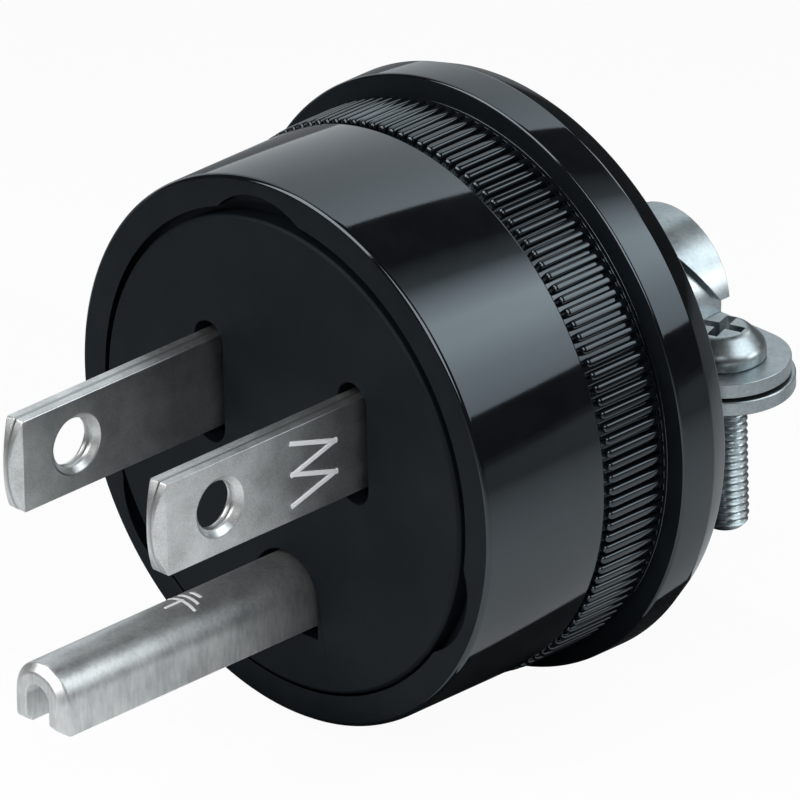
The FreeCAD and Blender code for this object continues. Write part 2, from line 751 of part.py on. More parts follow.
def make_lower_saddle():
    """The lower half of the cord clamp: a shallow cradle with drooping ears and a foot on the hub."""
    body = new_body("clamp_lower_saddle")
    cradle_inside = cradle_radius - sheet_metal
    radius = ear_radius + lower_extra
    droop = (ear_end - tilt_start) * tangent(ear_tilt)
    ear_under = ear_seat - sheet_metal
    inner_half = half_chord(cradle_inside, ear_seat)
    outer_half = half_chord(cradle_radius, ear_under)
    strip = new_sketch(body, "strip", "XZ_Plane", clamp_line + radius)
    outline(
        strip,
        line(tilt_start, ear_seat),
        line(ear_end, ear_seat - droop),
        line(ear_end, ear_under - droop),
        line(tilt_start, ear_under),
        line(outer_half, ear_under),
        arc(-outer_half, ear_under, 0, 0, -1),
        line(-tilt_start, ear_under),
        line(-ear_end, ear_under - droop),
        line(-ear_end, ear_seat - droop),
        line(-tilt_start, ear_seat),
        line(-inner_half, ear_seat),
        arc(inner_half, ear_seat, 0, 0, 1),
    )
    add_pad(body, strip, clamp_line + radius - hub_rear)
    trim_ears(body, "trim", radius, hub_rear)
    ear_holes(body, "holes", clamp_thread + thread_gap)

    plate = new_sketch(body, "plate", "XZ_Plane", hub_rear)
    plate_top = (ear_seat + ear_under) / 2
    mouth_half = half_chord(cradle_inside, plate_top)
    outline(
        plate,
        line(plate_half, plate_top),
        line(mouth_half, plate_top),
        arc(-mouth_half, plate_top, 0, 0, -1),
        line(-plate_half, plate_top),
        line(-plate_half, plate_corner - plate_bottom),
        line(plate_corner - plate_half, -plate_bottom),
        line(plate_half - plate_corner, -plate_bottom),
        line(plate_half, plate_corner - plate_bottom),
    )
    for side in (1, -1):
        round_hole(plate, plate_screw_offset * side, -plate_screw_drop, plate_thread + clearance_hole)
    add_pad(body, plate, sheet_metal, backwards=True)
    return body


def make_all():
    """Builds every piece of the plug in its place."""
    make_body()
    make_disc()
    make_blade("neutral_blade", 1)
    make_blade("line_blade", -1)
    make_earth_pin()

    spots = (
        ("neutral", terminal_offset, blade_line, lug_offset, lug_line),
        ("line", -terminal_offset, blade_line, -lug_offset, lug_line),
        ("earth", earth_offset, pin_line, -earth_lug, pin_line),
    )
    forwards = 90
    for name, terminal_x, terminal_z, fixing_x, fixing_z in spots:
        screw = make_slotted_screw(f"{name}_terminal_screw", terminal_thread, terminal_length, terminal_head)
        place(screw, terminal_x, washer_front, terminal_z, angle=forwards)
        washer = make_washer(f"{name}_wire_washer")
        place(washer, terminal_x, foot_front, terminal_z, angle=forwards)
        fixing = make_slotted_screw(f"{name}_fixing_screw", fixing_thread, fixing_length, fixing_head)
        place(fixing, fixing_x, foot_front, fixing_z, angle=forwards)

    make_upper_saddle()
    make_lower_saddle()
    for name, side in (("right", 1), ("left", -1)):
        screw = make_pan_screw(f"clamp_screw_{name}", clamp_thread, clamp_length, clamp_head)
        place(screw, clamp_offset * side, clamp_line, ear_top)
        foot = make_pan_screw(f"clamp_foot_screw_{name}", plate_thread, plate_screw_length, plate_head)
        place(foot, plate_screw_offset * side, hub_rear + sheet_metal, -plate_screw_drop, angle=-forwards)


def write_all():
    """Checks every object, then writes each piece to its own file."""
    doc.recompute()
    for item in doc.Objects:
        if "Invalid" in item.State or "Error" in item.State:
            raise RuntimeError(f"{item.Name} did not build: {item.State}")
    os.makedirs("parts", exist_ok=True)
    for item in doc.Objects:
        if item.TypeId == "PartDesign::Body":
            shape = item.Shape
            if shape.isNull() or not shape.isValid() or len(shape.Solids) != 1:
                raise RuntimeError(f"{item.Label} is not one valid solid")
            shape.exportStep(f"parts/{item.Label}.step")
            print(f"{item.Label}: {shape.Volume:.2f} mm3")


make_all()
write_all()
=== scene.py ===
# %% [markdown]
# A rewirable type B plug
#
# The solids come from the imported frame, in metres, with the plug's axis along Y. This lesson
# dresses them: it turns a finer moulding, rolls a knurl round it, cuts screw threads, rounds the
# sheet metal's edges and mixes the finishes. Real sizes are written in millimetres and turned into
# metres where a mesh is made.

# %% Load the frame
import math

import bmesh
import bpy
from mathutils import Matrix, Vector


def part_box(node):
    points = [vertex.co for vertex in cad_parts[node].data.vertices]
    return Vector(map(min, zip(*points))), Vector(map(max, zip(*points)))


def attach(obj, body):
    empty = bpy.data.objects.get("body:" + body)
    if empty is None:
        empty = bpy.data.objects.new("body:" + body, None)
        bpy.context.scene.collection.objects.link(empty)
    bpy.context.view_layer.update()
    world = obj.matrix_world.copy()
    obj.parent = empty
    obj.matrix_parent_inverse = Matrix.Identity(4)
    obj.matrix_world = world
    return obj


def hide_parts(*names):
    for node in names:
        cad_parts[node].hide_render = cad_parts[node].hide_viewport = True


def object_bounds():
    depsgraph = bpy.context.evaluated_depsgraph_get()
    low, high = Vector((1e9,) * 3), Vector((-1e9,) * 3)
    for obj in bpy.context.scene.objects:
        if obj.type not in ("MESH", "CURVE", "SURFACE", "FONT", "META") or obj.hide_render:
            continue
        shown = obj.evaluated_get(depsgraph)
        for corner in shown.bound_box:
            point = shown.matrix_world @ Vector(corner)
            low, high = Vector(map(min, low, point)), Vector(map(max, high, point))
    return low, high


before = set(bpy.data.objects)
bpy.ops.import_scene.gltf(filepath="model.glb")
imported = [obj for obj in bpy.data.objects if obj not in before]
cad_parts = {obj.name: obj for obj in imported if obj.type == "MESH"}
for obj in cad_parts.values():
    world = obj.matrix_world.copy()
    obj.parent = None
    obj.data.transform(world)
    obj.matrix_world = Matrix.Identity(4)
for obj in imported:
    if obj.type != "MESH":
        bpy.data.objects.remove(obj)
cad_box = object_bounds()
MM = 0.001
ROOT = "root"


def box_mm(node):
    """Lowest and highest corner of a solid, in millimetres."""
    low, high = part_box(node)
    return Vector(low) / MM, Vector(high) / MM


box_corners = [round(value / MM, 2) for corner in cad_box for value in corner]
print(f"{len(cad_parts)} solids, box {box_corners} mm")

# %% [markdown]
# Node maths in plain Python
#
# A finish is a small sum, such as grain plus stain. Wiring Math nodes by hand hides that sum, so
# one class wraps a socket and lets Python's own operators add the nodes. Other nodes come from its
# one method, add.

# %% The socket wrapper


class Wire:
    """An output socket of a node tree that can be used in sums."""

    def __init__(self, socket):
        self.socket = socket
        self.tree = socket.id_data

    @staticmethod
    def add(tree, kind, settings=None, inputs=None, output=0):
        """Adds one node: its settings first, then the values or links of its sockets."""
        node = tree.nodes.new(kind)
        for name, value in (settings or {}).items():
            if name == "stops":
                for index, (place, colour) in enumerate(value):
                    ramp = node.color_ramp.elements
                    stop = ramp[index] if index < len(ramp) else ramp.new(place)
                    stop.position = place
                    stop.color = colour
            else:
                setattr(node, name, value)
        for name, value in (inputs or {}).items():
            if isinstance(value, Wire):
                tree.links.new(value.socket, node.inputs[name])
            else:
                node.inputs[name].default_value = value
        return Wire(node.outputs[output]) if node.outputs else None

    def out(self, name):
        """Another output of the same node."""
        return Wire(self.socket.node.outputs[name])

    def maths(self, operation, *others):
        """A Math node on this value and others."""
        inputs = dict(enumerate((self, *others)))
        return Wire.add(self.tree, "ShaderNodeMath", {"operation": operation}, inputs)

    def turned(self, operation, other):
        """A Math node with the other value first, for the reflected forms."""
        return Wire.add(self.tree, "ShaderNodeMath", {"operation": operation}, {0: other, 1: self})

    def __add__(self, other):
        return self.maths("ADD", other)

    def __radd__(self, other):
        return self.turned("ADD", other)

    def __sub__(self, other):
        return self.maths("SUBTRACT", other)

    def __rsub__(self, other):
        return self.turned("SUBTRACT", other)

    def __mul__(self, other):
        return self.maths("MULTIPLY", other)

    def __rmul__(self, other):
        return self.turned("MULTIPLY", other)

    def __truediv__(self, other):
        return self.maths("DIVIDE", other)

    def __rtruediv__(self, other):
        return self.turned("DIVIDE", other)


print("wire: + - * / on sockets")

# %% [markdown]
# Finishes
#
# The plug is polished black phenolic, dull on the faces that look forward, with a disc of
# insulating board, satin nickel on the prongs, bright zinc on the clamp and brass inside. Each
# finish is a Principled shader whose colour, roughness and relief vary with noise in Object
# coordinates, so the grain stays put on the piece. Noise scales are per metre, so a grain of 0.3 mm
# is a scale of about 3300.

# %% Finish helpers


def new_finish(name, **constants):
    """A material with one Principled shader, and the constants set straight on its sockets."""
    material = bpy.data.materials.new(name)
    material.use_nodes = True
    shader = material.node_tree.nodes["Principled BSDF"]
    for socket, value in constants.items():
        shader.inputs[socket.replace("_", " ")].default_value = value
    return material, shader


even = (1.0, 1.0, 1.0)


def grain(tree, size_mm, detail=3.0, stretch=even):
    """Noise of a given grain size on the piece's own coordinates, from 0 to 1."""
    place = Wire.add(tree, "ShaderNodeTexCoord", output="Object")
    spread = Wire.add(tree, "ShaderNodeMapping", inputs={"Vector": place, "Scale": stretch})
    inputs = {"Vector": spread, "Scale": 1.0 / (size_mm * MM), "Detail": detail, "Roughness": 0.6}
    return Wire.add(tree, "ShaderNodeTexNoise", inputs=inputs)


def two_tone(tree, amount, dark, light, low=0.35, high=0.65):
    """A colour that runs from dark to light as a noise goes from low to high."""
    stops = ((low, (*dark, 1.0)), (high, (*light, 1.0)))
    return Wire.add(tree, "ShaderNodeValToRGB", {"stops": stops}, {"Fac": amount})


def relief(tree, height, depth_mm, strength):
    """A Bump node's normal from a height that depth_mm turns into millimetres."""
    inputs = {"Height": height, "Distance": depth_mm * MM, "Strength": strength}
    return Wire.add(tree, "ShaderNodeBump", inputs=inputs)


def wire_up(tree, shader, **wires):
    """Links wires to the shader's sockets of the same names."""
    for socket, wire in wires.items():
        tree.links.new(wire.socket, shader.inputs[socket.replace("_", " ")])


print("finish helpers: grain, two_tone, relief, wire_up")

# %% Phenolic and board
cool_sheen = (0.8, 0.92, 1.0, 1.0)


def polished_finish(name):
    """Black moulding from a polished mould: a sharp mirror with a faint cloud in it."""
    material, shader = new_finish(name, IOR=1.7, Specular_Tint=cool_sheen)
    tree = material.node_tree
    cloud = grain(tree, 2.5)
    speck = grain(tree, 0.12, 2.0)
    wire_up(
        tree, shader,
        Base_Color=two_tone(tree, cloud, (0.0025, 0.003, 0.004), (0.0045, 0.0055, 0.007)),
        Roughness=0.03 + 0.04 * cloud + 0.03 * speck,
        Normal=relief(tree, speck, 0.003, 0.2),
    )
    return material


def dull_finish(name, cloud_mm, fibre_mm, detail, spread, depth_mm, strength):
    """A matt black: a faint cloud in its colour, and fine fibres in its roughness and relief."""
    material, shader = new_finish(name, IOR=1.29, Specular_Tint=cool_sheen)
    tree = material.node_tree
    cloud = grain(tree, cloud_mm)
    fibre = grain(tree, fibre_mm, detail)
    wire_up(
        tree, shader,
        Base_Color=two_tone(tree, cloud, (0.0015, 0.0028, 0.004), (0.003, 0.0048, 0.0064)),
        Roughness=0.5 + spread * fibre,
        Normal=relief(tree, fibre, depth_mm, strength),
    )
    return material


phenolic = polished_finish("phenolic_polished")
dull_phenolic = dull_finish(
    "phenolic_dull", cloud_mm=3.0, fibre_mm=0.15,
    detail=3.0, spread=0.15, depth_mm=0.01, strength=0.4,
)
board = dull_finish(
    "insulating_board", cloud_mm=4.0, fibre_mm=0.18,
    detail=4.0, spread=0.2, depth_mm=0.012, strength=0.45,
)
moulded = (phenolic, dull_phenolic, board)
print("moulded finishes:", ", ".join(finish.name for finish in moulded))

# %% Plated metal
blade_pitch = 12.7
seam_width = 0.16
seam_shade = 0.5
seam_depth = 0.12


def fold_line(tree, middle_mm, width_mm):
    """1 along the seam of a folded blade, so far from the plug's axis, and 0 beside it."""
    place = Wire.add(tree, "ShaderNodeTexCoord", output="Object")
    aside = Wire.add(tree, "ShaderNodeSeparateXYZ", inputs={0: place}).out("X")
    off = (aside.maths("ABSOLUTE") / MM - middle_mm).maths("ABSOLUTE")
    return (1.0 - off / width_mm).maths("MAXIMUM", 0.0)


def metal_finish(
    name, dark, light, rough, grain_mm, depth_mm, stretch=even, metallic=1.0, folded=False,
):
    """A plated metal: slow stains in its colour, and a fine grain in its roughness and relief."""
    material, shader = new_finish(name, Metallic=metallic)
    tree = material.node_tree
    stain = grain(tree, 2.2)
    fine = grain(tree, grain_mm, 3.0, stretch)
    tone = 0.55 * stain + 0.45 * fine
    height = fine * depth_mm
    if folded:
        line = fold_line(tree, blade_pitch / 2, seam_width)
        tone = tone - seam_shade * line
        height = height - seam_depth * line
    wire_up(
        tree, shader,
        Base_Color=two_tone(tree, tone, dark, light),
        Roughness=rough + 0.12 * fine + 0.08 * stain,
        Normal=relief(tree, height, 1.0, 0.5),
    )
    return material


print(f"plated metal: stains, grain, and a seam {seam_width} mm wide on a folded blade")

# %% Nickel, zinc and brass


def struck_painted_glint_finish():
    """Freshly struck metal: rough, so it scatters light, and near white as a painted highlight."""
    material, shader = new_finish("nickel_struck_painted_glint")
    tree = material.node_tree
    tear = grain(tree, 0.08, 3.0)
    wire_up(
        tree, shader,
        Base_Color=two_tone(tree, tear, (0.9, 0.9, 0.9), (1.0, 1.0, 1.0)),
        Roughness=0.45 + 0.2 * tear,
        Normal=relief(tree, tear, 0.01, 0.5),
    )
    return material


drawn = (1.0, 0.6, 0.12)
nickel_light = (0.78, 0.79, 0.785)
nickel = metal_finish(
    "nickel_satin", (0.48, 0.49, 0.485), nickel_light,
    rough=0.27, grain_mm=0.12, depth_mm=0.014, folded=True,
)
pin_nickel = metal_finish(
    "nickel_drawn", (0.52, 0.53, 0.53), nickel_light,
    rough=0.32, grain_mm=0.16, depth_mm=0.014, stretch=drawn, metallic=0.93,
)
zinc = metal_finish(
    "zinc_bright", (0.26, 0.3, 0.315), (0.42, 0.465, 0.48),
    rough=0.23, grain_mm=0.2, depth_mm=0.006,
)
brass = metal_finish(
    "brass_plain", (0.5, 0.36, 0.15), (0.72, 0.55, 0.27),
    rough=0.25, grain_mm=0.2, depth_mm=0.006,
)
# The marks' near-white colour is partly their rough struck surface and partly a painted highlight.
stamp_painted_glint = struck_painted_glint_finish()
metals = (nickel, pin_nickel, zinc, brass, stamp_painted_glint)
print("metal finishes:", ", ".join(finish.name for finish in metals))

# %% [markdown]
# Turned shapes
#
# The moulding is a body of revolution, and so is a screw's head. A Screw modifier would do, but a
# short function that lays a profile round the axis is easier to read and lets the rim widen where
# the pry notches are. Sharp bends in the profile get small round corners first, because those
# corners catch the light.

# %% Profiles with round corners


def round_corner(before, corner, after, radius, steps=4):
    """Points of an arc that takes the place of a corner between two straight runs."""
    towards = (Vector(before) - Vector(corner)).normalized()
    away = (Vector(after) - Vector(corner)).normalized()
    half = towards.angle(away) / 2
    reach = radius / math.tan(half)
    start = Vector(corner) + towards * reach
    end = Vector(corner) + away * reach
    centre = Vector(corner) + (towards + away).normalized() * (radius / math.sin(half))
    points = []
    for step in range(steps + 1):
        spoke = start.lerp(end, step / steps) - centre
        points.append(centre + spoke.normalized() * radius)
    return points


def soften(corners):
    """A closed profile of (radius, along, rounding) corners with its roundings drawn as arcs."""
    points = []
    for index, (radius, along, rounding) in enumerate(corners):
        if rounding:
            before = corners[index - 1][:2]
            after = corners[(index + 1) % len(corners)][:2]
            points += round_corner(before, (radius, along), after, rounding)
        else:
            points.append(Vector((radius, along)))
    return points


print("profiles: corners of radius, along and rounding, in millimetres")

# %% Turn, close and settle a piece
touch_mm = 1e-4
sliver_mm = 1e-5


def turn_profile(work, profile, segments, shape=None):
    """Lays a closed profile round the Y axis into a bmesh; shape may move a point at an angle."""
    rings = []
    for segment in range(segments):
        angle = math.tau * segment / segments
        ring = []
        for index, (radius, along) in enumerate(profile):
            here = shape(index, radius, angle) if shape else radius
            ring.append(work.verts.new((here * math.cos(angle), along, here * math.sin(angle))))
        rings.append(ring)
    for ring, following in zip(rings, rings[1:] + rings[:1]):
        for index in range(len(profile)):
            ahead = (index + 1) % len(profile)
            work.faces.new((ring[index], following[index], following[ahead], ring[ahead]))


def shade_by_angle(work, degrees):
    """Smooth faces, with a crease wherever two of them meet at more than the angle."""
    limit = math.radians(degrees)
    for face in work.faces:
        face.smooth = True
    for edge in work.edges:
        edge.smooth = len(edge.link_faces) == 2 and edge.calc_face_angle(0.0) < limit


def new_piece(name, work, material, degrees=32.0, transform=None):
    """Closes a bmesh drawn in millimetres into an object at the origin, in metres."""
    bmesh.ops.remove_doubles(work, verts=work.verts, dist=touch_mm)
    bmesh.ops.dissolve_degenerate(work, edges=work.edges, dist=sliver_mm)
    bmesh.ops.recalc_face_normals(work, faces=work.faces)
    shade_by_angle(work, degrees)
    mesh = bpy.data.meshes.new(name)
    work.to_mesh(mesh)
    work.free()
    mesh.transform(transform or Matrix.Identity(4))
    mesh.transform(Matrix.Scale(MM, 4))
    mesh.materials.append(material)
    piece = bpy.data.objects.new(name, mesh)
    bpy.context.collection.objects.link(piece)
    return piece


def settle(piece, slot, *nodes):
    """Fixes a finished piece to the plug's one body, in place of the solids it stands for."""
    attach(piece, ROOT)
    if nodes:
        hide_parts(*nodes)
    print(f"{piece.name}: {len(piece.data.polygons)} faces")


print("pieces: turned round the Y axis in millimetres, kept in metres")

# %% [markdown]
# The moulding
#
# Cup, knurl ground, flange and hub are one profile. It starts at the rim, runs back over the
# outside, round the hub into the cord hole, and forward again through the wiring space. The first
# point and the last one are the rim's inner edge and the foot of a pry notch: both step out at
# three places, where a blade can be pushed in to lift the disc. The last point is there twice, so
# that the notch has a floor.

# %% Sizes of the moulding
body_low, body_high = box_mm("body")
flange_radius = body_high.x
rim_front = body_low.y
hub_rear = body_high.y
rim_radius = flange_radius - 1.4
cup_rear = rim_front + 10.0
flange_front = cup_rear + 5.45
flange_rear = flange_front + 4.3
flange_shoulder = flange_front + 2.6
flange_back = flange_radius - 0.7
ridge_ground = rim_radius - 0.3
ring_height = 0.22
ring_width = 0.3
hub_radius = 12.5
cord_radius = 3.75
cord_flare = 0.7
floor_front = rim_front + 13.0
seat_radius = rim_radius - 2.05
cavity_radius = seat_radius - 0.95
seat_rear = box_mm("insulating_disc")[1].y
notch_floor = rim_front + 1.1
notch_radius = 5.4
notch_centre = seat_radius + 0.95 - notch_radius
notch_angle = math.radians(97.0)
notch_count = 3
print(f"moulding: {2 * flange_radius:.1f} mm across, {hub_rear - rim_front:.1f} mm deep")

# %% Turn the moulding
turn_steps = 402
forward = -0.95
moulding_corners = (
    (seat_radius, rim_front, 0.0),
    (rim_radius, rim_front, 0.35),
    (rim_radius, cup_rear, 0.14),
    (ridge_ground, cup_rear, 0.05),
    (ridge_ground, flange_front - ring_width, 0.05),
    (ridge_ground + ring_height, flange_front - ring_width, 0.06),
    (ridge_ground + ring_height, flange_front, 0.05),
    (flange_radius, flange_front, 0.22),
    (flange_radius, flange_shoulder, 0.5),
    (flange_back, flange_rear, 0.35),
    (hub_radius, flange_rear, 0.3),
    (hub_radius, hub_rear, 0.5),
    (cord_radius + cord_flare, hub_rear, 0.0),
    (cord_radius, hub_rear - cord_flare, 0.0),
    (cord_radius, floor_front, 0.0),
    (cavity_radius, floor_front, 0.0),
    (cavity_radius, seat_rear, 0.0),
    (seat_radius, seat_rear, 0.0),
    (seat_radius, notch_floor, 0.0),
    (seat_radius, notch_floor, 0.0),
)
moulding_profile = soften(moulding_corners)
widened = {0, len(moulding_profile) - 1}


def rim_at(index, radius, angle):
    """The rim's inner radius at an angle: the seat, or the round wall of a pry notch."""
    if index not in widened:
        return radius
    step = math.tau / notch_count
    off = (angle - notch_angle + step / 2) % step - step / 2
    across = notch_centre * math.sin(off)
    if abs(across) >= notch_radius:
        return radius
    deep = math.sqrt(notch_radius ** 2 - across ** 2)
    return max(radius, notch_centre * math.cos(off) + deep)


work = bmesh.new()
turn_profile(work, moulding_profile, turn_steps, rim_at)
moulding = new_piece("moulding", work, phenolic)
moulding.data.materials.append(dull_phenolic)
for polygon in moulding.data.polygons:
    if polygon.normal.y < forward:
        polygon.material_index = 1
settle(moulding, "phenolic", "body")

# %% [markdown]
# The knurl
#
# The grip band carries 134 fine ridges, each a bar with rounded ends. This repeats round an axis,
# which is what Geometry Nodes are for: the object's own mesh is one ridge, and the tree copies it,
# turns each copy by its share of a full turn, makes the copies real and gives them the moulding's
# finish.

# %% One ridge
ridge_count = 134
ridge_height = 0.5
ridge_half = 0.325
ridge_length = 4.75
ridge_sunk = 0.12
ridge_end = 0.45
band_middle = (cup_rear + flange_front) / 2
ridge_flank = ((1.0, 0.0), (0.95, 0.55), (0.84, 0.84), (0.62, 0.96), (0.4, 1.0))
ridge_section = ridge_flank + tuple((-across, up) for across, up in reversed(ridge_flank))
ridge_ends = ((0.0, 0.35, 0.4), (0.12, 0.72, 0.75), (0.4, 0.94, 0.94), (1.0, 1.0, 1.0))

work = bmesh.new()
stations = []
for share, wide, tall in ridge_ends:
    stations.append((-ridge_length / 2 + share * ridge_end, wide, tall))
stations += [(-along, wide, tall) for along, wide, tall in reversed(stations)]
rows = []
for along, wide, tall in stations:
    row = []
    for across, up in ridge_section:
        height = ridge_ground - ridge_sunk + (ridge_sunk + ridge_height * tall) * up
        row.append(work.verts.new((ridge_half * wide * across, band_middle + along, height)))
    rows.append(row)
for row, following in zip(rows, rows[1:]):
    for index in range(len(row)):
        ahead = (index + 1) % len(row)
        work.faces.new((row[index], following[index], following[ahead], row[ahead]))
for row in (rows[0], rows[-1]):
    work.faces.new(row)
knurl = new_piece("knurl", work, phenolic, degrees=50.0)
print(f"one ridge: {len(knurl.data.polygons)} faces")

# %% Geometry tree helpers


def new_tree(name, **sizes):
    """An empty geometry tree with named sizes, and its inputs as wires."""
    tree = bpy.data.node_groups.new(name, "GeometryNodeTree")
    tree.interface.new_socket("Geometry", in_out="INPUT", socket_type="NodeSocketGeometry")
    for label, value in sizes.items():
        kind = "NodeSocketInt" if isinstance(value, int) else "NodeSocketFloat"
        size = tree.interface.new_socket(label, in_out="INPUT", socket_type=kind)
        size.default_value = value
    tree.interface.new_socket("Geometry", in_out="OUTPUT", socket_type="NodeSocketGeometry")
    entry = Wire.add(tree, "NodeGroupInput").socket.node
    return tree, {socket.name: Wire(socket) for socket in entry.outputs if socket.name}


def close_tree(tree, geometry, material):
    """Ends a tree: real geometry, its finish, and the output."""
    real = Wire.add(tree, "GeometryNodeRealizeInstances", inputs={"Geometry": geometry})
    inputs = {"Geometry": real, "Material": material}
    coated = Wire.add(tree, "GeometryNodeSetMaterial", inputs=inputs)
    Wire.add(tree, "NodeGroupOutput", inputs={0: coated})


def grow(piece, tree, **sizes):
    """Runs a tree on a piece with its sizes set, and keeps the result as the piece's plain mesh."""
    modifier = piece.modifiers.new(tree.name, "NODES")
    modifier.node_group = tree
    for item in tree.interface.items_tree:
        if item.in_out == "INPUT" and item.name in sizes:
            modifier[item.identifier] = sizes[item.name]
    graph = bpy.context.evaluated_depsgraph_get()
    made = bpy.data.meshes.new_from_object(piece.evaluated_get(graph), depsgraph=graph)
    piece.modifiers.remove(modifier)
    piece.data = made


print("geometry trees: named sizes in, one plain mesh out")

# %% Roll the ridge round the band


def knurl_tree():
    """A tree that copies the ridge round the Y axis, each copy its share of a turn further on."""
    tree, entry = new_tree("knurl_round_axis", Count=ridge_count)
    inputs = {"Geometry": entry["Geometry"]}
    single = Wire.add(tree, "GeometryNodeGeometryToInstance", inputs=inputs)
    inputs = {"Geometry": single, "Amount": entry["Count"]}
    copies = Wire.add(tree, "GeometryNodeDuplicateElements", {"domain": "INSTANCE"}, inputs)
    share = copies.out("Duplicate Index") / entry["Count"]
    angle = Wire.add(tree, "ShaderNodeCombineXYZ", inputs={"Y": share * math.tau})
    inputs = {"Instances": copies.out("Geometry"), "Rotation": angle, "Local Space": False}
    close_tree(tree, Wire.add(tree, "GeometryNodeRotateInstances", inputs=inputs), phenolic)
    return tree


grow(knurl, knurl_tree(), Count=ridge_count)
settle(knurl, "phenolic")

# %% [markdown]
# Sheet metal, prongs and disc
#
# These solids already have the right shape, but stamped metal never has a perfectly sharp edge. A
# copy of each mesh is welded, its flat faces are joined, and a Bevel modifier breaks the edges so
# that they catch a line of light. The copy then stands for the solid.

# %% Break the edges of the sheet pieces
weld_mm = 0.001
flat_degrees = 0.5


def broken_edges(node, name, material, slot, edge_mm, degrees=28.0):
    """A welded copy of a solid with its edges broken, standing in its place."""
    work = bmesh.new()
    work.from_mesh(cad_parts[node].data)
    bmesh.ops.scale(work, verts=work.verts, vec=Vector((1, 1, 1)) / MM)
    bmesh.ops.remove_doubles(work, verts=work.verts, dist=weld_mm)
    flat = math.radians(flat_degrees)
    bmesh.ops.dissolve_limit(work, angle_limit=flat, verts=work.verts, edges=work.edges)
    piece = new_piece(name, work, material, degrees)
    bevel = piece.modifiers.new("broken_edges", "BEVEL")
    bevel.width = edge_mm * MM
    bevel.segments = 2
    bevel.limit_method = "ANGLE"
    bevel.angle_limit = math.radians(degrees)
    graph = bpy.context.evaluated_depsgraph_get()
    piece.data = bpy.data.meshes.new_from_object(piece.evaluated_get(graph), depsgraph=graph)
    piece.modifiers.clear()
    settle(piece, slot, node)


broken_edges("insulating_disc", "disc_dressed", board, "fibre", edge_mm=0.06)
for side in ("line", "neutral"):
    dressed = f"{side}_blade_dressed"
    broken_edges(f"{side}_blade", dressed, nickel, "nickel", edge_mm=0.17, degrees=18.0)
broken_edges("earth_pin", "earth_pin_dressed", pin_nickel, "nickel", edge_mm=0.1)
for half in ("upper", "lower"):
    broken_edges(f"clamp_{half}_saddle", f"{half}_saddle_dressed", zinc, "zinc", edge_mm=0.1)

# %% [markdown]
# The screws
#
# A machine screw shows its thread below the clamp's ears. The thread is a helix, so a Geometry
# Nodes tree bends a flat grid into a tube whose radius rises and falls once per pitch and once per
# turn. The pan head is turned, and a cross recess is cut into it with two Boolean wedges.

# %% The thread
thread_around = 40
thread_rows_per_pitch = 8
# Depth and chamfer are shares of the pitch; a slope over 1 leaves flats on crest and root.
thread_depth = 0.5
thread_chamfer = 0.8
thread_slope = 1.25


def thread_tree(around, along):
    """A tree that bends a grid into a thread which runs down from Y = 0, in millimetres."""
    tree, entry = new_tree(
        "screw_thread", Radius=1.0, Depth=0.3, Pitch=0.5, Length=10.0, Chamfer=0.3,
    )
    inputs = {"Size X": 1.0, "Size Y": 1.0, "Vertices X": around + 1, "Vertices Y": along + 1}
    sheet = Wire.add(tree, "GeometryNodeMeshGrid", inputs=inputs)
    place = Wire.add(tree, "GeometryNodeInputPosition")
    split = Wire.add(tree, "ShaderNodeSeparateXYZ", inputs={0: place})
    turn = split.out("X") + 0.5
    depth = (split.out("Y") + 0.5) * entry["Length"]
    phase = (depth / entry["Pitch"] + turn).maths("FRACT")
    slope = (2.0 * phase - 1.0).maths("ABSOLUTE") * thread_slope - (thread_slope - 1.0) / 2
    flank = slope.maths("MAXIMUM", 0.0).maths("MINIMUM", 1.0)
    tip = entry["Radius"] - (depth - entry["Length"] + entry["Chamfer"]).maths("MAXIMUM", 0.0)
    radius = (entry["Radius"] - entry["Depth"] * flank).maths("MINIMUM", tip)
    angle = turn * math.tau
    aside = radius * angle.maths("COSINE")
    above = radius * angle.maths("SINE")
    spot = Wire.add(tree, "ShaderNodeCombineXYZ", inputs={"X": aside, "Y": 0.0 - depth, "Z": above})
    tube = Wire.add(tree, "GeometryNodeSetPosition", inputs={"Geometry": sheet, "Position": spot})
    close_tree(tree, tube, zinc)
    return tree


print(f"thread: {thread_around} points a turn, {thread_rows_per_pitch} rows a pitch")

# %% The head
head_steps = 72
head_edge = 0.12
# These are shares of the head's radius, or of its height where they run along it.
head_side = 0.45
head_crown = 0.3
head_shoulder = (0.6, 0.985)
recess_length = 0.56
recess_width = 0.13
recess_depth = 0.62
# A cutter starts this far above the head, and is wider there than at its tip.
recess_above = 0.5
recess_flare = 1.15
recess_taper = 0.5


def wedge(name, half_length, half_width, top, depth):
    """A closed tapered bar that cuts one slot of a cross recess, in millimetres along Y."""
    work = bmesh.new()
    rows = []
    for height, share in ((top + recess_above, recess_flare), (top - depth, recess_taper)):
        length = half_length * share
        width = half_width * (0.5 + share / 2)
        corners = ((length, width), (-length, width), (-length, -width), (length, -width))
        rows.append([work.verts.new((across, height, deep)) for across, deep in corners])
    upper, lower = rows
    work.faces.new(upper)
    work.faces.new(lower)
    for index in range(len(upper)):
        ahead = (index + 1) % len(upper)
        work.faces.new((upper[index], upper[ahead], lower[ahead], lower[index]))
    return new_piece(name, work, zinc)


